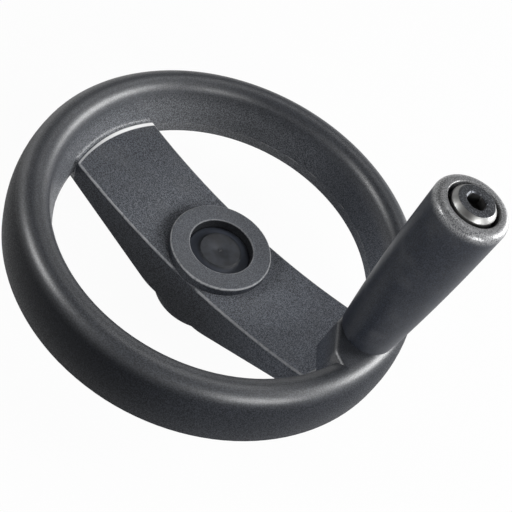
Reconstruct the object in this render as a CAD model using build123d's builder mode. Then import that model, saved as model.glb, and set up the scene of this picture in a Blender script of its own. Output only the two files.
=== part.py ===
"""Two-spoke machine handwheel with a revolving grip, in millimetres.

The wheel's axis is Z. z = 0 is the rear face of the hub, which seats on the
machine, and +Z points to the side of the grip. The spoke bar lies along X, and
the grip stands on its +X end.
"""

import os
from math import asin, atan2, degrees, hypot, radians, sqrt, tan

from build123d import *

os.makedirs("parts", exist_ok=True)

# Hub
hub_diameter = 40.8
hub_length = 29.6
hub_edge_radius = 1.0
hub_foot_chamfer = 0.5
recess_diameter = 25.3
recess_lip_radius = 0.5

# Steel bush moulded into the hub
bore_diameter = 16.0
bush_diameter = 30.0
bush_length = 20.0
bush_groove_width = 4.0
bush_groove_depth = 1.2
bore_chamfer = 1.0

# Cap that closes the recess over the shaft's end
cap_clearance = 0.05
cap_drop = 4.3
cap_wall = 1.8
cap_centre_diameter = 16.2
cap_centre_rise = 1.9
cap_edge_radius = 0.4

# Spoke bar: one flat bar across the rim, dished on top, tapering below
bar_width = 41.1
bar_top_height = 25.2
bar_top_radius = 244.0
bar_belly_height = 5.0
bar_belly_half_length = 13.8
bar_belly_slope = 20.7
bar_belly_radius = 18.0
bar_edge_radius = 1.2
bar_wall = 4.0
bar_rib = 3.0
bar_rows = 2
bar_columns = 3

# Rim: a hollow moulding, open at the rear and ribbed inside
rim_diameter = 160.0
rim_width = 16.6
rim_base_height = 25.4
rim_height = 24.1
rim_parting_rise = 4.5
rim_lower_draft = 0.3
rim_crest_radius = 5.7
rim_outer_wall_radius = 40.0
rim_foot_radius = 1.3
rim_wall = 4.0
rim_rib = 2.4
rim_pocket_count = 30
rim_bar_radius = 2.2

# Handle boss, raised from the end of the bar into the rim
handle_inset = 15.7
boss_sink = 0.02
boss_root_height = 28.0
boss_front_reach = 10.9
boss_front_half_width = 4.6
boss_shoulder_reach = 3.6
boss_flank_angle = 57.0
boss_side_angle = 24.0
boss_front_corner_radius = 1.0
boss_shoulder_corner_radius = 5.0
boss_draft = 2.0
boss_edge_radius = 2.0
boss_post_diameter = 21.0
boss_post_height = 27.0

# Brass insert moulded into the boss
insert_diameter = 13.0
insert_length = 17.0
insert_groove_width = 4.0
insert_groove_depth = 0.8
thread_diameter = 8.0
thread_clearance = 0.05
thread_chamfer = 0.8

# Spindle: threaded end, collar on the boss, journal, head with a hexagon socket
thread_length = 14.0
collar_diameter = 14.0
collar_length = 2.5
journal_diameter = 10.0
head_diameter = 14.8
head_length = 6.0
head_flat_diameter = 12.2
head_chamfer_height = 1.6
socket_width = 6.0
socket_depth = 3.8

# Grip: a tapered sleeve that turns on the journal, between collar and head
grip_play = 0.2
grip_length = 71.3
grip_foot_diameter = 21.0
grip_body_diameter = 25.1
grip_taper_length = 60.0
grip_foot_radius = 0.5
grip_top_radius = 2.7
grip_recess_diameter = 17.0
grip_recess_depth = 4.7
grip_recess_lip_radius = 0.7
grip_bearing_length = 16.0
grip_bearing_relief = 0.6
running_clearance = 0.05

# Worked out from the sizes above
hub_radius = hub_diameter / 2
recess_radius = recess_diameter / 2
rim_radius = rim_diameter / 2
rim_inner_radius = rim_radius - rim_width
handle_radius = rim_radius - handle_inset
rim_parting_height = rim_base_height + rim_parting_rise
rim_top_height = rim_base_height + rim_height
boss_top_height = rim_top_height - boss_sink
crest_height = rim_top_height - rim_crest_radius
crest_rise = crest_height - rim_parting_height
crest_offset = rim_outer_wall_radius - rim_crest_radius
crest_radius = rim_radius - rim_outer_wall_radius + sqrt(crest_offset**2 - crest_rise**2)
grip_foot_height = boss_top_height + collar_length + grip_play
grip_top_height = grip_foot_height + grip_length
head_seat_height = grip_top_height - grip_recess_depth + grip_play
head_top_height = head_seat_height + head_length
handle_axis = Axis((handle_radius, 0, 0), (0, 0, 1))
upwards = (Align.CENTER, Align.CENTER, Align.MIN)
corner = (Align.MIN, Align.MIN)


def draw_rim_section(inset, foot_height):
    """Draw the rim's closed section, offset inwards by inset and cut off at foot_height.

    The outer wall is a long arc that runs into the crest's arc, and the inner wall
    is the tangent from the parting line up to the crest's arc.
    """
    wall_centre = rim_radius - rim_outer_wall_radius
    run = crest_radius - rim_inner_radius
    outer_turn = degrees(asin(crest_rise / crest_offset))
    lean = atan2(crest_rise, run) + asin(rim_crest_radius / hypot(run, crest_rise))
    crest_turn = 90 + degrees(lean) - outer_turn
    crest = CenterArc((crest_radius, crest_height), rim_crest_radius - inset, outer_turn, crest_turn)
    wall = CenterArc((wall_centre, rim_parting_height), rim_outer_wall_radius - inset, 0, outer_turn)
    parting_x = (crest @ 1).X - ((crest @ 1).Y - rim_parting_height) / tan(lean)
    Polyline(
        crest @ 1,
        (parting_x, rim_parting_height),
        (parting_x + rim_lower_draft, foot_height),
        (rim_radius - inset, foot_height),
        wall @ 0,
    )


def draw_bar_side(top_drop, belly_drop):
    """Draw the bar's closed side view, with its top and its belly lowered."""
    top = bar_top_height - top_drop
    end_top = top + bar_top_radius - sqrt(bar_top_radius**2 - rim_radius**2)
    belly = bar_belly_height - belly_drop
    end_belly = belly + (rim_radius - bar_belly_half_length) * tan(radians(bar_belly_slope))
    ThreePointArc((-rim_radius, end_top), (0, top), (rim_radius, end_top))
    Polyline(
        (rim_radius, end_top),
        (rim_radius, end_belly),
        (bar_belly_half_length, belly),
        (-bar_belly_half_length, belly),
        (-rim_radius, end_belly),
        (-rim_radius, end_top),
    )


# Steel bush, keyed to the plastic by a groove
with BuildPart() as hub_bush:
    Cylinder(bush_diameter / 2, bush_length, align=upwards)
    with BuildSketch(Plane.XY.offset((bush_length - bush_groove_width) / 2)):
        Circle(bush_diameter / 2)
        Circle(bush_diameter / 2 - bush_groove_depth, mode=Mode.SUBTRACT)
    extrude(amount=bush_groove_width, mode=Mode.SUBTRACT)
    bush_body = hub_bush.part
    Hole(bore_diameter / 2)
    bore_ends = hub_bush.edges().filter_by(GeomType.CIRCLE).sort_by(SortBy.RADIUS)[:2]
    chamfer(bore_ends, bore_chamfer)
hub_bush.part.label = "hub_bush"

# Brass insert, keyed to the boss by a groove
insert_plane = Plane((handle_radius, 0, boss_top_height - insert_length))
with BuildPart(insert_plane) as threaded_insert:
    Cylinder(insert_diameter / 2, insert_length, align=upwards)
    with BuildSketch(insert_plane.offset((insert_length - insert_groove_width) / 2)):
        Circle(insert_diameter / 2)
        Circle(insert_diameter / 2 - insert_groove_depth, mode=Mode.SUBTRACT)
    extrude(amount=insert_groove_width, mode=Mode.SUBTRACT)
    insert_body = threaded_insert.part
    Hole(thread_diameter / 2 + thread_clearance)
    thread_ends = threaded_insert.edges().filter_by(GeomType.CIRCLE).sort_by(SortBy.RADIUS)[:2]
    chamfer(thread_ends, thread_chamfer)
threaded_insert.part.label = "threaded_insert"

# One pocket of the rim's hollow, between two ribs, with its middle on +X
pocket_pitch = 360 / rim_pocket_count
pocket_angle = pocket_pitch - degrees(rim_rib / (rim_radius - rim_width / 2))
pocket_plane = Plane.XZ.rotated((0, 0, -pocket_angle / 2))
with BuildPart() as rim_pocket:
    with BuildSketch(pocket_plane):
        with BuildLine():
            draw_rim_section(rim_wall, bar_belly_height)
        make_face()
    revolve(axis=Axis.Z, revolution_arc=pocket_angle)

# The bar's hollow: the bar's own shape less its walls, cut up by ribs
bar_core_width = bar_width - 2 * bar_wall
bar_pocket_width = (bar_core_width - (bar_rows - 1) * bar_rib) / bar_rows
bar_core_start = hub_radius + bar_wall
bar_core_end = rim_inner_radius - bar_wall
bar_core_length = bar_core_end - bar_core_start
bar_pocket_length = (bar_core_length - (bar_columns - 1) * bar_rib) / bar_columns
bar_core_middle = (bar_core_start + bar_core_end) / 2
with BuildPart() as bar_pockets:
    with BuildSketch(Plane.XZ):
        with BuildLine():
            draw_bar_side(bar_wall, bar_wall)
        make_face()
    extrude(amount=bar_core_width / 2, both=True)
    with BuildSketch():
        with Locations((bar_core_middle, 0), (-bar_core_middle, 0)):
            with GridLocations(
                bar_pocket_length + bar_rib, bar_pocket_width + bar_rib, bar_columns, bar_rows
            ):
                Rectangle(bar_pocket_length, bar_pocket_width)
    extrude(amount=rim_top_height, both=True, mode=Mode.INTERSECT)

# Handle boss: a wedge in plan, drafted, whose flat top runs into the rim's crest
boss_front_radius = handle_radius - boss_front_reach
boss_shoulder_radius = handle_radius - boss_shoulder_reach
flank_run = boss_front_reach - boss_shoulder_reach
boss_shoulder_half_width = boss_front_half_width + flank_run * tan(radians(boss_flank_angle))
side_run = rim_radius - boss_shoulder_radius
boss_side_half_width = boss_shoulder_half_width + side_run * tan(radians(boss_side_angle))
boss_height = boss_top_height - boss_root_height
with BuildPart() as boss:
    with BuildSketch(Plane.XY.offset(boss_root_height)):
        with BuildLine():
            Polyline(
                (boss_front_radius, boss_front_half_width),
                (boss_front_radius, -boss_front_half_width),
                (boss_shoulder_radius, -boss_shoulder_half_width),
                (rim_radius, -boss_side_half_width),
                (rim_radius, boss_side_half_width),
                (boss_shoulder_radius, boss_shoulder_half_width),
                close=True,
            )
        make_face()
    extrude(amount=boss_height, taper=boss_draft)
    boss_corners = boss.edges().group_by(Axis.Z)[1].sort_by(Axis.X)
    fillet(boss_corners[2:4], boss_shoulder_corner_radius)
    boss_corners = boss.edges().group_by(Axis.Z)[1].sort_by(Axis.X)
    fillet(boss_corners[:2], boss_front_corner_radius)
    boss_top_edges = boss.faces().sort_by(Axis.Z)[-1].edges().sort_by(Axis.X)[:-1]
    fillet(boss_top_edges, boss_edge_radius)
    Cylinder(crest_radius, boss_top_height, align=upwards, mode=Mode.INTERSECT)

# Hub
with BuildPart() as hub:
    Cylinder(hub_radius, hub_length, align=upwards)
    hub_ends = hub.edges().filter_by(GeomType.CIRCLE).sort_by(Axis.Z)
    fillet(hub_ends[-1], hub_edge_radius)
    chamfer(hub_ends[0], hub_foot_chamfer)

# Wheel moulding: rim, bar, hub and boss in one piece, hollowed from the rear
with BuildPart() as bar:
    with BuildSketch(Plane.XZ):
        with BuildLine():
            draw_bar_side(0, 0)
        make_face()
    extrude(amount=bar_width / 2, both=True)
    belly_bends = bar.edges().filter_by(Axis.Y).group_by(Axis.Z)[0]
    fillet(belly_bends, bar_belly_radius)
    Cylinder(crest_radius, rim_top_height, align=upwards, mode=Mode.INTERSECT)

with BuildPart() as wheel:
    with BuildSketch(Plane.XZ) as rim_section:
        with BuildLine():
            draw_rim_section(0, rim_base_height)
        make_face()
        rim_foot = rim_section.vertices().group_by(Axis.Y)[0].sort_by(Axis.X)[-1]
        fillet(rim_foot, rim_foot_radius)
    revolve(axis=Axis.Z)
    add(bar.part)
    bar_ends = wheel.edges().filter_by(GeomType.BSPLINE)
    fillet(bar_ends, rim_bar_radius)
    bar_edges = wheel.edges().filter_by(GeomType.CIRCLE).sort_by(SortBy.RADIUS)[-2:]
    fillet(bar_edges, bar_edge_radius)
    add(hub.part)
    add(boss.part)
    add(bar_pockets.part, mode=Mode.SUBTRACT)
    with PolarLocations(0, rim_pocket_count - 1, pocket_pitch, 360 - pocket_pitch):
        add(rim_pocket.part, mode=Mode.SUBTRACT)
    with Locations((handle_radius, 0, boss_post_height)):
        Cylinder(boss_post_diameter / 2, boss_height - boss_edge_radius, align=upwards)
    add(bush_body, mode=Mode.SUBTRACT)
    add(insert_body, mode=Mode.SUBTRACT)
    with Locations((0, 0, bush_length)):
        Cylinder(recess_radius, hub_length, align=upwards, mode=Mode.SUBTRACT)
    recess_lip = wheel.edges().filter_by(GeomType.CIRCLE).filter_by_position(
        Axis.Z, hub_length - 0.001, hub_length + 0.001
    )
    fillet(recess_lip.sort_by(SortBy.RADIUS)[0], recess_lip_radius)
wheel.part.label = "wheel"

# Cap: a skirted disc pushed into the recess, dished up to a flat centre
cap_radius = recess_radius - cap_clearance
cap_margin_height = hub_length - cap_drop
cap_centre_radius = cap_centre_diameter / 2
with BuildPart() as hub_cap:
    with BuildSketch(Plane.XZ) as cap_section:
        with BuildLine():
            Polyline(
                (0, cap_margin_height + cap_centre_rise),
                (cap_centre_radius, cap_margin_height + cap_centre_rise),
                (cap_radius, cap_margin_height),
                (cap_radius, bush_length),
                (cap_radius - cap_wall, bush_length),
                (cap_radius - cap_wall, cap_margin_height - cap_wall),
                (cap_centre_radius, cap_margin_height + cap_centre_rise - cap_wall),
                (0, cap_margin_height + cap_centre_rise - cap_wall),
                close=True,
            )
        make_face()
        cap_edges = cap_section.vertices().sort_by(Axis.Y)[-3:]
        fillet(cap_edges.filter_by(lambda v: v.X > 0), cap_edge_radius)
    revolve(axis=Axis.Z)
hub_cap.part.label = "hub_cap"

# Spindle, turned in one piece and screwed down until its collar seats on the boss
with BuildPart() as spindle:
    with BuildSketch(Plane.XZ.shift_origin((handle_radius, 0, 0))) as spindle_section:
        with BuildLine():
            Polyline(
                (0, boss_top_height - thread_length),
                (thread_diameter / 2, boss_top_height - thread_length),
                (thread_diameter / 2, boss_top_height),
                (collar_diameter / 2, boss_top_height),
                (collar_diameter / 2, boss_top_height + collar_length),
                (journal_diameter / 2, boss_top_height + collar_length),
                (journal_diameter / 2, head_seat_height),
                (head_diameter / 2, head_seat_height),
                (head_diameter / 2, head_top_height - head_chamfer_height),
                (head_flat_diameter / 2, head_top_height),
                (0, head_top_height),
                close=True,
            )
        make_face()
        thread_end = spindle_section.vertices().group_by(Axis.Y)[0].sort_by(Axis.X)[-1]
        chamfer(thread_end, thread_chamfer)
    revolve(axis=handle_axis)
    with BuildSketch(Plane((handle_radius, 0, head_top_height))):
        RegularPolygon(socket_width / 2, 6, major_radius=False)
    extrude(amount=-socket_depth, mode=Mode.SUBTRACT)
spindle.part.label = "spindle"

# Grip: the outside tapers to the foot, the bore is relieved between two bearings
grip_radius = grip_body_diameter / 2
bearing_radius = journal_diameter / 2 + running_clearance
grip_recess_floor = grip_length - grip_recess_depth
with BuildPart() as grip:
    with BuildSketch(Plane.XZ.shift_origin((handle_radius, 0, grip_foot_height))) as grip_section:
        with BuildLine():
            TangentArc(
                (grip_radius, grip_taper_length), (grip_foot_diameter / 2, 0), tangent=(0, -1)
            )
            Polyline(
                (grip_foot_diameter / 2, 0),
                (bearing_radius, 0),
                (bearing_radius, grip_recess_floor),
                (grip_recess_diameter / 2, grip_recess_floor),
                (grip_recess_diameter / 2, grip_length),
                (grip_radius, grip_length),
                (grip_radius, grip_taper_length),
            )
        make_face()
        with Locations((0, grip_bearing_length)):
            relief_length = grip_recess_floor - 2 * grip_bearing_length
            relief_radius = bearing_radius + grip_bearing_relief
            Rectangle(relief_radius, relief_length, align=corner, mode=Mode.SUBTRACT)
        foot_corner = grip_section.vertices().group_by(Axis.Y)[0].sort_by(Axis.X)[-1]
        fillet(foot_corner, grip_foot_radius)
        top_corner = grip_section.vertices().group_by(Axis.Y)[-1].sort_by(Axis.X)[-1]
        fillet(top_corner, grip_top_radius)
        lip_corner = grip_section.vertices().group_by(Axis.Y)[-1].sort_by(Axis.X)[0]
        fillet(lip_corner, grip_recess_lip_radius)
    revolve(axis=handle_axis)
grip.part.label = "grip"

pieces = (wheel, hub_bush, hub_cap, threaded_insert, spindle, grip)
for piece in pieces:
    export_step(piece.part, f"parts/{piece.part.label}.step")
    print(piece.part.label, round(piece.part.volume), "mm3")
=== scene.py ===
# %% [markdown]
# # A machine handwheel, dressed for a picture
#
# The part is a two-spoke handwheel: a black plastic moulding with a hollow rim,
# a flat bar across it, a steel bush in its hub and a handle that turns on a
# steel spindle. The exact solids were made before and are loaded as a frame.
# Here they get their finishes, the spindle and the hub's cap are modelled again
# in more detail, and the whole is lit and looked at.
#
# Everything is in metres. z = 0 is the rear face of the hub, the wheel's axis is
# Z, and the bar lies along X with the handle at its +X end.

# %% Load the frame
from math import cos, pi, radians, sin, sqrt

import bmesh
import bpy
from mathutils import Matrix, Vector


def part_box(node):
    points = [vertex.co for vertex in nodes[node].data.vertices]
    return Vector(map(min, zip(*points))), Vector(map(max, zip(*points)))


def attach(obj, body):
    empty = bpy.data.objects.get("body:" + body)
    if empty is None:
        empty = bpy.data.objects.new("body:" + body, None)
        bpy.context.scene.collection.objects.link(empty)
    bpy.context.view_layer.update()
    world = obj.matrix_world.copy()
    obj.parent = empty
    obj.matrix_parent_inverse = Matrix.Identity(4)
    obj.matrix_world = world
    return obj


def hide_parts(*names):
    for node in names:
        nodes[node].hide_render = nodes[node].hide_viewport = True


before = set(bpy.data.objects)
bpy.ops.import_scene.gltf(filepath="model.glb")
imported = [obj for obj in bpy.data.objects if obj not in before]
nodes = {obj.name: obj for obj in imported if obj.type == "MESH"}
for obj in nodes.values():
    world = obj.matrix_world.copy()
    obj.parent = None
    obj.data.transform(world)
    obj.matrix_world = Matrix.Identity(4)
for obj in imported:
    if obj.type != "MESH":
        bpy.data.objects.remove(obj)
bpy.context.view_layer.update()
MM = 0.001
print("solids:", ", ".join(sorted(nodes)))

# %% [markdown]
# ## Where the parts are
#
# The pieces that are modelled here have to sit on the solids, so their places
# are read from the solids' own boxes, and not written down a second time.

# %% Read the places
low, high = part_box("wheel")
rim_radius = high.x
rim_top = high.z
low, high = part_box("spindle")
handle_x = (low.x + high.x) / 2
head_top = high.z
low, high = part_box("grip")
grip_top = high.z
print(f"rim radius {rim_radius / MM:.1f} mm, handle at x = {handle_x / MM:.1f} mm")

# %% [markdown]
# ## The camera
#
# The camera stands in front of the wheel, to the right of its middle, and looks
# down at it. It is turned on its side a little, so the axis of the wheel leans
# in the picture. The frame is cut out of a wider view, which the two shift
# values do: they slide the picture without turning the camera.

# %% Set up the camera
camera_data = bpy.data.cameras.new("camera")
camera_data.lens = 55.75
camera_data.shift_x = -0.0934
camera_data.shift_y = 0.1195
camera_data.clip_start = 0.01
camera = bpy.data.objects.new("camera", camera_data)
camera.location = (0.07648, -0.18733, 0.26514)
camera.rotation_euler = (radians(33.745), radians(-21.345), radians(38.868))
bpy.context.scene.collection.objects.link(camera)
bpy.context.scene.camera = camera
print(f"camera {camera.location.length:.2f} m from the hub")

# %% [markdown]
# ## Writing shader maths as Python
#
# A procedural material is a graph of small nodes. Adding each node by hand hides
# the idea behind it, so two helpers are used. `Wire` holds one output socket,
# and a sum or product on it adds the Math node that does it. `Finish` holds one
# material, and its `add` method makes any node from its type, its settings and
# what goes into its sockets. Most of what follows needs only two of its methods:
# `step` makes a mask from a place or a noise, and `blend` lays one colour over
# another where a mask says so.

# %% Helpers for materials
class Wire:
    """One output socket of a node. Arithmetic on it adds Math nodes."""

    def __init__(self, finish, socket):
        self.finish = finish
        self.socket = socket

    def math(self, operation, *others):
        values = dict(enumerate((self,) + others))
        return self.finish.add("Math", {"operation": operation}, values)

    def __add__(self, other):
        return self.math("ADD", other)

    def __mul__(self, other):
        return self.math("MULTIPLY", other)

    def __sub__(self, other):
        return self.math("SUBTRACT", other)

    def __rsub__(self, other):
        return self.finish.add("Math", {"operation": "SUBTRACT"}, {0: other, 1: self})

    __radd__ = __add__
    __rmul__ = __mul__


class Finish:
    """A material under construction, with its Principled shader."""

    def __init__(self, name):
        self.material = bpy.data.materials.new(name)
        self.material.use_nodes = True
        self.tree = self.material.node_tree
        self.shader = self.tree.nodes["Principled BSDF"]
        self.place = self.add("TexCoord", {}, {}, output="Object")

    def feed(self, socket, value):
        if isinstance(value, Wire):
            self.tree.links.new(value.socket, socket)
        else:
            socket.default_value = value

    def add(self, kind, settings, inputs, output=0):
        node = self.tree.nodes.new("ShaderNode" + kind)
        for name, value in settings.items():
            setattr(node, name, value)
        for name, value in inputs.items():
            self.feed(node.inputs[name], value)
        return Wire(self, node.outputs[output])

    def set(self, **inputs):
        for name, value in inputs.items():
            self.feed(self.shader.inputs[name.replace("_", " ")], value)

    def noise(self, size, detail=2, place=None, rough=0.5):
        """Noise whose blotches are about size metres across, from 0 to 1."""
        place = self.place if place is None else place
        inputs = {"Vector": place, "Scale": 1 / size, "Detail": detail, "Roughness": rough}
        return self.add("TexNoise", {}, inputs)

    def step(self, value, start, end, low=0.0, high=1.0):
        """Run smoothly from low to high as value goes from start to end."""
        inputs = {0: value, 1: start, 2: end, 3: low, 4: high}
        return self.add("MapRange", {"interpolation_type": "SMOOTHSTEP"}, inputs)

    def line(self, distance, outer, inner):
        """A line where distance is 0: full up to inner on each side, gone at outer."""
        return self.step(distance.math("ABSOLUTE"), outer, inner)

    def blend(self, mask, first, second):
        """Mix two colours: first where mask is 0, second where it is 1."""
        settings = {"data_type": "RGBA"}
        return self.add("Mix", settings, {0: mask, 6: first, 7: second}, output=2)

    def bump(self, height, depth):
        """Turn a height from 0 to 1 into a normal; depth is in metres."""
        return self.add("Bump", {}, {"Height": height, "Distance": depth, "Strength": 1.0})

    def split(self):
        """The x, y and z of a point on the piece."""
        return [self.add("SeparateXYZ", {}, {0: self.place}, output=axis) for axis in range(3)]


def grey(value, blue=1.0):
    """A grey with its blue raised and its red lowered."""
    return (value / sqrt(blue), value, value * blue, 1.0)


print("helpers ready")

# %% [markdown]
# ## The wheel's plastic: its grain
#
# The wheel is black glass-filled nylon. Its skin copies the spark-eroded steel
# of the mould: a fine matt grain of about half a millimetre, which breaks every
# reflection into specks, some light and some dark. A picture of such a skin
# could be wrapped round the wheel, but noise that is read at each point's own
# place has no seams, and its grain is as large on every face.
#
# One noise gives both the colour of the specks here and the bumps at the end, so
# the high specks are the pale ones. Everything after this is a layer of colour
# laid over the dark base, one cell at a time, each with a mask that says where
# it lies. The first layer is already here: the side of the handle is made paler,
# which is painted light.

# %% Grain and base colour
nylon = Finish("moulded_nylon")
x, y, z = nylon.split()
radius = (x * x + y * y).math("SQRT")
grain = nylon.noise(0.45 * MM, detail=3, rough=0.65)
speck = nylon.step(grain, 0.40, 0.62)


def specks(dark, light, blue):
    """Two greys mixed by the grain: dark in its pits, light on its peaks."""
    return nylon.blend(speck, grey(dark, blue), grey(light, blue))


# painted light: the side of the handle is made paler
painted_light_at_handle = nylon.step(x, 5 * MM, 52 * MM)
skin = specks(0.017, 0.052, 1.2)
skin = nylon.blend(painted_light_at_handle * 0.6, skin, specks(0.05, 0.15, 1.2))
print("grain and base colour of", nylon.material.name)

# %% [markdown]
# ## The wheel's plastic: faces that look up
#
# The top of the bar and of the hub is painted paler than the upright walls: this
# is painted light on the faces that look up. The mask comes from the normal, the
# direction that a face looks in: its z is 1 on a level face and 0 on an upright
# one. The bar is painted palest at the handle. The ring on top of the hub is
# calmer, with less contrast between its specks.

# %% Paler tops
rim_width = 16.6 * MM
rim_inner = rim_radius - rim_width
fillet_width = 1.6 * MM
bar_end = rim_inner - fillet_width
hub_radius = 20.4 * MM

facing = nylon.add("NewGeometry", {}, {}, output="Normal")
facing_up = nylon.add("SeparateXYZ", {}, {0: facing}, output=2)
on_bar = nylon.step(radius, bar_end + 0.8 * MM, bar_end)
upward = nylon.step(facing_up, 0.1, 0.9) * on_bar
# painted light: faces that look up are made paler, most towards the handle
painted_light_along_bar = nylon.step(x, -65 * MM, -5 * MM, 0.30, 0.95)
skin = nylon.blend(upward * painted_light_along_bar, skin, specks(0.052, 0.185, 1.12))
skin = nylon.blend(upward * painted_light_at_handle * 0.7, skin, specks(0.10, 0.30, 1.15))
hub_face = nylon.step(radius, hub_radius, hub_radius - 1 * MM) * upward
skin = nylon.blend(hub_face * 0.5, skin, grey(0.080, 1.1))
print(f"bar's flat top ends {bar_end / MM:.1f} mm from the axis")

# %% [markdown]
# ## The wheel's plastic: edges, recess and dust
#
# Edges that stand up get painted highlights, pale lines for the light that their
# rounding catches: the two long edges of the bar, the hub's outer edge and, more
# faintly, the lip of the hub's recess. Each is a thin line at a known distance
# from an axis, broken up by the dust's noise. The recess gets painted shade and
# is made nearly black. Then come two thin veils on all the tops, one in large
# clouds where hands rub and one in small grains, which is the dust itself.

# %% Edges, recess and dust
bar_edge_at = 20.1 * MM
hub_edge_at = 20.1 * MM
lip_edge_at = 12.95 * MM
cloud = nylon.noise(14 * MM, detail=3)
dust = nylon.noise(1.3 * MM, detail=2)

# painted shade: the hub's recess is made nearly black
painted_recess_shade = nylon.step(radius, lip_edge_at, lip_edge_at - 0.4 * MM)
skin = nylon.blend(painted_recess_shade * 0.8, skin, grey(0.008))

bar_edge_highlight = nylon.line(y.math("ABSOLUTE") - bar_edge_at, 0.55 * MM, 0.15 * MM)
hub_edge_highlight = nylon.line(radius - hub_edge_at, 0.45 * MM, 0.12 * MM)
lip_edge_highlight = nylon.line(radius - lip_edge_at, 0.40 * MM, 0.10 * MM)
outside_hub = nylon.step(radius, hub_radius, hub_radius + 1 * MM)
turning_up = nylon.step(facing_up, 0.2, 0.6) * on_bar
# painted highlight: pale lines along the edges stand for light caught on their rounding
edges = (bar_edge_highlight * outside_hub).math("MAXIMUM", hub_edge_highlight.math("MAXIMUM", lip_edge_highlight * 0.4))
edges = edges * turning_up * nylon.step(dust, 0.25, 0.6, 0.4, 1.0)
skin = nylon.blend(edges * 0.85, skin, grey(0.36, 1.03))

paler_top = nylon.step(cloud, 0.40, 0.75) * upward
skin = nylon.blend(paler_top * 0.30, skin, grey(0.096, 1.05))
dusty = nylon.step(dust, 0.62, 0.80) * 0.30 * upward
skin = nylon.blend(dusty, skin, grey(0.192))
print("edges, recess and dust painted")

# %% [markdown]
# ## The wheel's plastic: the rim
#
# The rim has three zones. Its inner wall is painted lighter, a painted sheen for
# the light of the room, mostly on the side away from the handle. Its outer wall is
# painted darkest, which is painted shade, a little less so at the handle. Along
# the inner side of the crest, hands slide round and have rubbed the grain smooth,
# and a gloss follows in the last cell. There the colour is painted darker, with
# weak specks, as painted shade.

# %% Walls and crest of the rim
crest_worn_from = rim_top - 12.0 * MM
crest_worn_fully = rim_top - 1.5 * MM

inside = nylon.step(radius, rim_inner + 4.5 * MM, rim_inner + 2.0 * MM)
# painted light: the inner wall is made lighter, most on the side away from the handle
lit_inner_wall = inside * nylon.step(radius, rim_inner - 1.0 * MM, rim_inner - 0.6 * MM)
lit_inner_wall = lit_inner_wall * nylon.step(x, 30 * MM, -60 * MM, 0.05, 1.0)
skin = nylon.blend(lit_inner_wall, skin, specks(0.034, 0.130, 1.1))

# painted shade: the outer wall is made darkest, a little less near the handle
painted_shade_outer_wall = nylon.step(radius, rim_radius - 9.5 * MM, rim_radius - 6 * MM)
painted_shade_outer_wall = painted_shade_outer_wall - painted_shade_outer_wall * painted_light_at_handle * 0.2
skin = nylon.blend(painted_shade_outer_wall, skin, specks(0.003, 0.008, 1.3))

# the crest band gets a real gloss later; its darker colour here is painted shade
top_band = nylon.step(z, crest_worn_from, crest_worn_fully)
top_band = top_band * nylon.step(radius, rim_radius - 2.5 * MM, rim_radius - 6 * MM)
skin = nylon.blend(top_band, skin, specks(0.012, 0.040, 1.2))
print("rim painted")

# %% [markdown]
# ## The wheel's plastic: painted highlights at the fillet and the seam
#
# Two thin lines are painted highlights. Where the bar's end meets the rim, the
# fillet between them catches a lamp: a bright painted highlight lies there, widest
# towards the back. Along the inside of the rim runs the mould's parting line, a
# faint seam, and the light it catches is a paler painted line, which comes and
# goes. Both are lines of colour. They are too thin to be worth any mesh.

# %% Painted highlights at the fillet and the seam
seam_height = rim_top - 19.6 * MM

# painted highlight: a bright line on the fillet at the bar's end, widest towards the back
fillet_highlight_width = nylon.step(y, -20 * MM, 6 * MM, 0.45 * MM, 0.82 * MM)
painted_fillet_highlight = nylon.line(radius - bar_end, fillet_highlight_width, fillet_highlight_width * 0.6)
painted_fillet_highlight = painted_fillet_highlight * nylon.step(y.math("ABSOLUTE"), 21 * MM, 19.5 * MM)
painted_fillet_highlight = painted_fillet_highlight * nylon.step(z, rim_top - 6 * MM, rim_top - 8 * MM)
painted_fillet_highlight = painted_fillet_highlight * nylon.step(facing_up, 0.6, 0.8) * nylon.step(y, -20 * MM, 10 * MM, 0.30, 1.0)
skin = nylon.blend(painted_fillet_highlight * 0.9, skin, grey(0.80))

# painted highlight: a paler broken line along the parting seam inside the rim
painted_seam_highlight = nylon.line(z - seam_height, 0.28 * MM, 0.10 * MM)
painted_seam_highlight = painted_seam_highlight * nylon.step(nylon.noise(5 * MM), 0.46, 0.62)
painted_seam_highlight = painted_seam_highlight * inside * nylon.step(radius, bar_end, bar_end + 1.0 * MM)
skin = nylon.blend(painted_seam_highlight * 0.6, skin, grey(0.208))
print(f"seam at z = {seam_height / MM:.1f} mm")

# %% [markdown]
# ## The wheel's plastic: how it shines
#
# The colour is done, and now the same masks shape the gloss. A grained skin
# throws back less light than a smooth one, so its specular level is far below
# the usual 0.5. The rubbed crest and the inner wall get a coat, a thin clear
# layer with a shine of its own, whose weight follows their masks. The grain
# breaks it up. The side next to the worker is polished most.

# %% Gloss and bumps
nylon.set(Base_Color=skin)
nylon.set(Roughness=nylon.step(speck, 0, 1, 0.58, 0.42))
nylon.set(Normal=nylon.bump(grain, 0.060 * MM))
polish = top_band * nylon.step(cloud, 0.3, 0.7, 0.85, 1.0) * nylon.step(speck, 0, 1, 0.85, 1.0)
polish = polish * nylon.step(y, -30 * MM, 60 * MM, 1.0, 0.7)
sheen = lit_inner_wall * nylon.step(speck, 0, 1, 0.3, 0.6)
nylon.set(Coat_Weight=polish.math("MAXIMUM", sheen))
nylon.set(Coat_Roughness=0.42, Coat_IOR=1.8, Specular_IOR_Level=0.07)
wheel_plastic = nylon.material
print("made", wheel_plastic.name, "with", len(nylon.tree.nodes), "nodes")

# %% [markdown]
# ## The grip's plastic
#
# The grip comes from a finer mould and has a bluish black colour. Its grain is
# too fine to count, and shows as a soft sheen. The palm has polished its top
# edge, and its end face is painted a paler grey, which is painted light.

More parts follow.
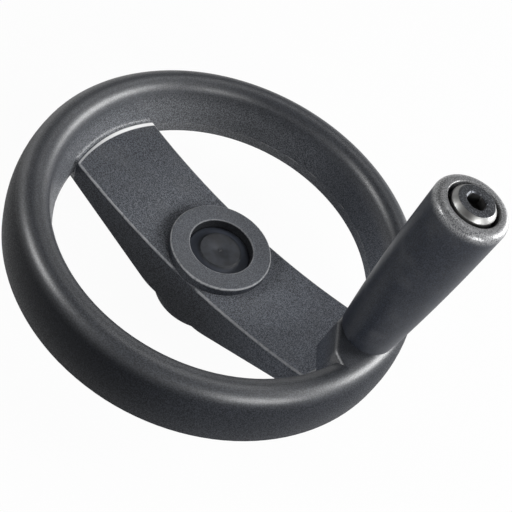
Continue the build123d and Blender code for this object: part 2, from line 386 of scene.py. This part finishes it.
# %% The grip's plastic
def make_grip_plastic():
    finish = Finish("turned_grip_nylon")
    height = finish.split()[2]
    grain = finish.noise(0.38 * MM, detail=3, rough=0.6)
    cloud = finish.noise(9 * MM, detail=3)
    speck = finish.step(grain, 0.34, 0.68)
    colour = finish.blend(speck, grey(0.007, 1.4), grey(0.028, 1.4))
    colour = finish.blend(finish.step(cloud, 0.45, 0.75) * 0.2, colour, grey(0.088, 1.05))
    # painted light: the grip's end face is made a paler grey
    paler_top = finish.step(height, grip_top - 3.6 * MM, grip_top - 0.8 * MM)
    paler_top = paler_top * finish.step(grain, 0.34, 0.60, 0.15, 1.0)
    colour = finish.blend(paler_top, colour, grey(0.20, 1.02))
    top_band = finish.step(height, grip_top - 4.5 * MM, grip_top - 0.8 * MM)
    finish.set(Base_Color=colour)
    finish.set(Roughness=finish.step(cloud, 0.3, 0.7, 0.40, 0.48))
    finish.set(Normal=finish.bump(grain, 0.022 * MM))
    finish.set(Coat_Weight=top_band * finish.step(grain, 0.36, 0.60, 0.25, 1.0))
    finish.set(Coat_Roughness=0.32, Coat_IOR=1.8, Specular_IOR_Level=0.20)
    return finish.material


grip_plastic = make_grip_plastic()
print("made", grip_plastic.name)

# %% [markdown]
# ## The cap's plastic
#
# The cap is a small softer moulding with a smoother skin. Its gloss is cloudy,
# and fine circles from the turned mould run round its middle. They are a sine
# wave of the distance from the axis. The slope round the middle is a little
# paler, which makes up for the shade that it lies in.

# %% The cap's plastic
circle_pitch = 0.35 * MM


def make_cap_plastic():
    finish = Finish("cap_black")
    x, y = finish.split()[:2]
    radius = (x * x + y * y).math("SQRT")
    cloud = finish.noise(3.5 * MM, detail=4)
    grain = finish.noise(0.22 * MM, detail=2)
    circles = (radius * (2 * pi / circle_pitch)).math("SINE")
    colour = finish.blend(finish.step(cloud, 0.3, 0.7), grey(0.018, 1.15), grey(0.036, 1.2))
    slope = finish.step(radius, 8.2 * MM, 9.4 * MM)
    colour = finish.blend(slope, colour, grey(0.054, 1.3))
    finish.set(Base_Color=colour)
    finish.set(Roughness=finish.step(cloud, 0.3, 0.7, 0.48, 0.62), Specular_IOR_Level=0.35)
    finish.set(Normal=finish.bump(grain + circles * 0.12, 0.004 * MM))
    return finish.material


cap_plastic = make_cap_plastic()
print("made", cap_plastic.name)

# %% [markdown]
# ## The metals
#
# The bush, the insert and the spindle were turned on a lathe. A lathe tool
# leaves fine rings round the axis of the piece, so the pattern is stretched:
# it varies fast along the radius and the height, and hardly at all around. The
# maths works out the distance from the axis and feeds that to the noise in
# place of x and y.
#
# The spindle is blackened with oxide, which has worn off where it is touched. It
# is left on the head's flat top, thinly in its socket, and on the foot, which is
# out of sight in the wheel. The sloping flank of the head is bright.

# %% The metals
head_flat = 6.1


def blacken(finish, shade, radius, z):
    """Lay black oxide over the spindle's foot, its head's flat top and its socket."""
    foot = finish.step(z, head_top - 60 * MM, head_top - 62 * MM)
    shade = finish.blend(foot, shade, grey(0.032))
    on_flat = finish.step(radius, (head_flat + 0.1) * MM, (head_flat - 0.1) * MM)
    on_head = finish.step(z, head_top - 9 * MM, head_top - 8 * MM)
    grain = finish.noise(0.5 * MM, detail=3)
    oxide = finish.blend(finish.step(grain, 0.45, 0.72), grey(0.05, 1.1), grey(0.19, 1.1))
    shade = finish.blend(on_flat * on_head, shade, oxide)
    in_socket = on_flat * finish.step(z, head_top - 0.45 * MM, head_top - 0.7 * MM)
    return finish.blend(in_socket * on_head, shade, grey(0.12))


def make_turned_metal(name, colour, rough, axis_x=0.0, blackened=False):
    """Metal turned round an upright axis at x = axis_x."""
    finish = Finish(name)
    x, y, z = finish.split()
    across = x - axis_x
    radius = (across * across + y * y).math("SQRT")
    rings_place = finish.add("CombineXYZ", {}, {0: radius, 1: z, 2: 0.0})
    rings = finish.noise(0.16 * MM, detail=2, place=rings_place)
    cloud = finish.noise(2.5 * MM, detail=3)
    stain = finish.step(cloud, 0.35, 0.7)
    stained = [0.6 * channel for channel in colour[:3]] + [1.0]
    shade = finish.blend(stain * 0.5, colour, stained)
    if blackened:
        shade = blacken(finish, shade, radius, z)
    finish.set(Base_Color=shade)
    finish.set(Metallic=1.0)
    finish.set(Roughness=finish.step(cloud, 0.3, 0.7, rough, rough + 0.14))
    finish.set(Normal=finish.bump(rings, 0.003 * MM))
    return finish.material


bush_steel = make_turned_metal("turned_steel", (0.60, 0.59, 0.57, 1.0), 0.26)
insert_brass = make_turned_metal("turned_brass", (0.72, 0.52, 0.26, 1.0), 0.28, handle_x)
spindle_steel = make_turned_metal(
    "spindle_bright_steel", (0.23, 0.23, 0.225, 1.0), 0.38, handle_x, blackened=True
)
print("made", bush_steel.name, insert_brass.name, spindle_steel.name)

# %% [markdown]
# ## Turning a piece with extrude
#
# The spindle and the cap are round, so both can be made the way a lathe does:
# by their section. A circle of edges is added, then extruded again and again,
# and each new ring is moved to its height and scaled to its radius. Spinning a
# drawn section would give the same walls. Rings are used here because the
# socket needs one ring that isn't round. Each piece is turned round the world's
# Z axis first and is moved to its own axis at the end. Sizes on a lathe are read
# in millimetres, so these helpers take them so.

# %% Helpers for turned pieces
sides = 96


def add_ring(radius, height, corners=sides):
    """Add a ring of edges round the Z axis, in mm; in edit mode it joins the piece."""
    bpy.ops.mesh.primitive_circle_add(
        vertices=corners, radius=radius * MM, fill_type="NOTHING", location=(0, 0, height * MM)
    )


def begin_piece(name, radius, height, corners=sides):
    """Start a piece from one ring, in mm, and leave the ring selected in edit mode."""
    bpy.ops.object.select_all(action="DESELECT")
    add_ring(radius, height, corners)
    piece = bpy.context.object
    piece.name = name
    bpy.ops.object.transform_apply(location=True, rotation=True, scale=True)
    bpy.ops.object.mode_set(mode="EDIT")
    bpy.ops.mesh.select_all(action="SELECT")
    return piece


def select_rings(piece, height, within=None):
    """Select the vertices at one height or, of those, the ones within a radius, in mm."""
    mesh = bmesh.from_edit_mesh(piece.data)
    bpy.ops.mesh.select_all(action="DESELECT")
    for vertex in mesh.verts:
        at_height = abs(vertex.co.z / MM - height) < 0.01
        near_axis = within is None or vertex.co.xy.length / MM < within
        vertex.select = at_height and near_axis
    mesh.select_flush_mode()
    bmesh.update_edit_mesh(piece.data)


def pull_rings(start, corners):
    """Extrude the selected ring from start through each (radius, height) corner, in mm."""
    for corner in corners:
        rise = (0, 0, (corner[1] - start[1]) * MM)
        bpy.ops.mesh.extrude_region_move(TRANSFORM_OT_translate={"value": rise})
        ratio = corner[0] / start[0]
        middle = (0, 0, corner[1] * MM)
        bpy.ops.transform.resize(value=(ratio, ratio, 1), center_override=middle)
        start = corner
    bpy.ops.mesh.edge_face_add()


def round_edges(piece, width, from_radius, sharpest=25):
    """Bevel the edges beyond from_radius, in mm, that bend by more than sharpest degrees."""
    bpy.ops.mesh.select_all(action="DESELECT")
    bpy.ops.mesh.select_mode(type="EDGE")
    bpy.ops.mesh.edges_select_sharp(sharpness=radians(sharpest))
    mesh = bmesh.from_edit_mesh(piece.data)
    for edge in mesh.edges:
        if edge.select and edge.verts[0].co.xy.length / MM < from_radius:
            edge.select = False
    bmesh.update_edit_mesh(piece.data)
    bpy.ops.mesh.bevel(offset=width * MM, segments=3, profile=0.5, affect="EDGES")


def close_piece(piece, axis_x, material, body):
    """Tidy the mesh, move it to its axis, give it its finish and tie it to its body."""
    bpy.ops.mesh.select_all(action="SELECT")
    bpy.ops.mesh.remove_doubles(threshold=0.002 * MM)
    bpy.ops.mesh.normals_make_consistent(inside=False)
    bpy.ops.object.mode_set(mode="OBJECT")
    piece.location.x = axis_x
    bpy.ops.object.transform_apply(location=True, rotation=True, scale=True)
    bpy.ops.object.shade_smooth_by_angle(angle=radians(35))
    piece.data.materials.append(material)
    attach(piece, body)
    print(f"{piece.name}: {len(piece.data.polygons)} faces")


print("helpers for turned pieces ready")

# %% [markdown]
# ## The spindle
#
# The grip turns on this steel spindle. From the top it has a round head with a
# sloping shoulder, a long journal inside the grip, a collar that seats on the
# wheel and a threaded end. A hexagon key goes into the head, so the middle of
# the head is a six-sided ring, cut into as many edges as the round ring above
# it, and the two are bridged. That bridge is the countersink at the socket's
# mouth. The socket ends in the cone that the drill left. Small bevels catch the
# light along the outer edges, as on a real turned part.

# %% Model the spindle
top = head_top / MM
mouth_radius = 3.62
mouth_depth = 0.45
key_width = 6.0
socket_corner = key_width / sqrt(3)
socket_depth = 4.0
socket_floor = top - socket_depth
drill_radius = 2.9
drill_point = (0.3, socket_floor - 1.2)

spindle = begin_piece("spindle_turned", socket_corner, top - mouth_depth, 6)
bpy.ops.mesh.subdivide(number_cuts=sides // 6 - 1)
bpy.ops.object.mode_set(mode="OBJECT")
bpy.ops.object.mode_set(mode="EDIT")
add_ring(mouth_radius, top)
bpy.ops.mesh.select_all(action="SELECT")
bpy.ops.mesh.bridge_edge_loops()
select_rings(spindle, top - mouth_depth)
socket_ring = (socket_corner, top - mouth_depth)
pull_rings(socket_ring, [(socket_corner, socket_floor), (drill_radius, socket_floor), drill_point])

head_radius = 7.4
shoulder_drop = 1.6
head_foot = 118.98
journal_radius = 5.0
collar_radius = 7.0
collar_top = 51.98
collar_foot = 49.48
thread_radius = 4.0
thread_end = 36.28
tip_chamfer = 0.8
head = [(head_flat, top), (head_radius, top - shoulder_drop), (head_radius, head_foot)]
journal = [(journal_radius, head_foot), (journal_radius, collar_top)]
collar = [(collar_radius, collar_top), (collar_radius, collar_foot)]
thread = [(thread_radius, collar_foot), (thread_radius, thread_end)]
tip = [(thread_radius - tip_chamfer, thread_end - tip_chamfer)]
select_rings(spindle, top)
pull_rings((mouth_radius, top), head + journal + collar + thread + tip)
round_edges(spindle, width=0.22, from_radius=4.5)
close_piece(spindle, handle_x, spindle_steel, "wheel_body")
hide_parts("spindle")

# %% [markdown]
# ## The cap
#
# The cap closes the recess over the end of the machine's shaft. It is a shallow
# moulding, domed up to a flat middle that ends in a low step. In the centre is
# the gate mark, a small pit with a nib in it, where the plastic came into the
# mould. All of it is one section again, turned from the nib outwards and round
# to the hollow underside.

# %% Model the cap
cap_low, cap_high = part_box("hub_cap")
cap_top = cap_high.z / MM
cap_foot = cap_low.z / MM
cap_radius = cap_high.x / MM
cap_wall = 1.8
cap_bore = cap_radius - cap_wall
ceiling = cap_top - cap_wall

nib = (0.35, cap_top - 0.15)
gate_pit = [(0.6, cap_top - 0.42), (1.5, cap_top - 0.42), (2.1, cap_top - 0.03)]
flat_middle = [(7.7, cap_top), (8.0, cap_top - 0.02), (8.15, cap_top - 0.28)]
dome = [(9.6, cap_top - 0.95), (11.4, cap_top - 1.75), (12.1, cap_top - 1.9)]
skirt = [(cap_radius, cap_top - 2.3), (cap_radius, cap_foot), (cap_bore, cap_foot)]
underside = [(cap_bore, cap_top - 3.7), (8.1, ceiling), (0.5, ceiling)]

cap = begin_piece("hub_cap_moulded", nib[0], nib[1])
pull_rings(nib, gate_pit + flat_middle + dome + skirt + underside)
select_rings(cap, nib[1], within=1.0)
bpy.ops.mesh.edge_face_add()
round_edges(cap, width=0.10, from_radius=7.0, sharpest=20)
close_piece(cap, 0.0, cap_plastic, "wheel_body")
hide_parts("hub_cap")

# %% [markdown]
# ## Dressing the solids
#
# The wheel, the bush, the insert and the grip have their true shape already, so
# they stay as they came. Each has a plain material in its slot, and only that
# is exchanged.

# %% Give the solids their finishes
finishes = {
    "wheel": wheel_plastic,
    "hub_bush": bush_steel,
    "threaded_insert": insert_brass,
    "grip": grip_plastic,
}
for name, material in finishes.items():
    for slot in nodes[name].material_slots:
        slot.material = material
print("dressed", len(finishes), "solids")

# %% [markdown]
# ## The floor
#
# The wheel stands on its hub on a plain white floor. A floor that is lit like
# any other thing would come out an uneven grey. So it has two materials in one:
# a matt one, which takes the wheel's soft shadow, and plain glowing white. What
# the camera sees is mostly the white, and so is what a shiny surface mirrors, or
# metal would seem to stand on a dark floor. To all other light the floor is only
# the matt one, so it throws no extra light on the wheel.

# %% Lay the floor
floor_size = 6.0
bpy.ops.object.select_all(action="DESELECT")
bpy.ops.mesh.primitive_plane_add(size=floor_size, location=(0, 0, 0))
floor = bpy.context.object
floor.name = "floor"
white_share = 0.96


def seen_by_eye(finish):
    """1 for rays from the camera, and for those that metal or glass sends on."""
    seen = finish.add("LightPath", {}, {}, output="Is Camera Ray")
    for ray in ("Is Glossy Ray", "Is Transmission Ray"):
        seen = seen.math("MAXIMUM", finish.add("LightPath", {}, {}, output=ray))
    return seen


def make_floor_white():
    finish = Finish("floor_white")
    finish.set(Base_Color=grey(0.5), Roughness=0.9)
    white = finish.add("Emission", {}, {"Color": grey(1.0), "Strength": 1.0})
    lit = Wire(finish, finish.shader.outputs[0])
    share = seen_by_eye(finish) * white_share
    shown = finish.add("MixShader", {}, {0: share, 1: lit, 2: white})
    finish.feed(finish.tree.nodes["Material Output"].inputs["Surface"], shown)
    return finish.material


floor_white = make_floor_white()
floor.data.materials.append(floor_white)
print("floor laid")

# %% [markdown]
# ## The studio wall
#
# Seen from low down, the floor would end at a dark horizon. A round wall of the
# same white stands on its edge, far outside the lamps, so such a view has a
# white ground too. It is a cylinder without ends, which leaves it open above.

# %% Put up the studio wall
wall_height = 1.4
bpy.ops.object.select_all(action="DESELECT")
bpy.ops.mesh.primitive_cylinder_add(
    vertices=sides, radius=floor_size / 2, depth=wall_height, end_fill_type="NOTHING",
    location=(0, 0, wall_height / 2),
)
studio_wall = bpy.context.object
studio_wall.name = "studio_wall"
studio_wall.data.materials.append(floor_white)
bpy.ops.object.shade_smooth()
print("wall stands")

# %% [markdown]
# ## The lamps
#
# Black plastic shows little but its reflections, so the lamps are large soft
# boxes, placed where their reflections run along the crest of the rim and down
# the grip. The three strong ones stand behind the wheel on the right, in front
# on the right and low on the left. A wide one close to the floor lights the
# side away from the worker. The two high ones are faint, because a strong lamp
# above would turn every level face pale. A lamp's glow is how bright its face
# looks, and the power follows from that and its size.

# %% Hang the lamps
lamp_distance = 1.0
aim_height = 0.03


def hang_lamp(name, azimuth, elevation, width, glow):
    """Hang a round soft box. Angles are in degrees, from +X and from the floor."""
    turn, rise = radians(azimuth), radians(elevation)
    direction = Vector((cos(rise) * cos(turn), cos(rise) * sin(turn), sin(rise)))
    data = bpy.data.lights.new(name, "AREA")
    data.shape = "DISK"
    data.size = width
    data.energy = glow * (pi * width / 2) ** 2
    lamp = bpy.data.objects.new(name, data)
    lamp.location = direction * lamp_distance + Vector((0, 0, aim_height))
    lamp.rotation_euler = direction.to_track_quat("Z", "Y").to_euler()
    bpy.context.scene.collection.objects.link(lamp)


hang_lamp("key_box", azimuth=36, elevation=27, width=0.45, glow=16)
hang_lamp("high_key_box", azimuth=28, elevation=56, width=0.50, glow=1.2)
hang_lamp("low_back_box", azimuth=56, elevation=10, width=0.60, glow=7.5)
hang_lamp("high_back_box", azimuth=100, elevation=64, width=0.50, glow=2.4)
hang_lamp("front_right_box", azimuth=-22, elevation=22, width=0.50, glow=15)
hang_lamp("left_box", azimuth=220, elevation=25, width=0.32, glow=20)
print("lamps hung")

# %% [markdown]
# ## The room
#
# A studio isn't black between its lamps. A dim even grey from all sides stands
# for the light that its walls send back, and keeps the shadows open. The view
# transform is set to Standard, which shows each colour as it is written.

# %% Light the room
world = bpy.data.worlds.new("studio")
bpy.context.scene.world = world
world.use_nodes = True
room = world.node_tree.nodes["Background"]
room.inputs["Color"].default_value = grey(1.0)
room.inputs["Strength"].default_value = 0.08
bpy.context.scene.view_settings.view_transform = "Standard"
print("room lit")
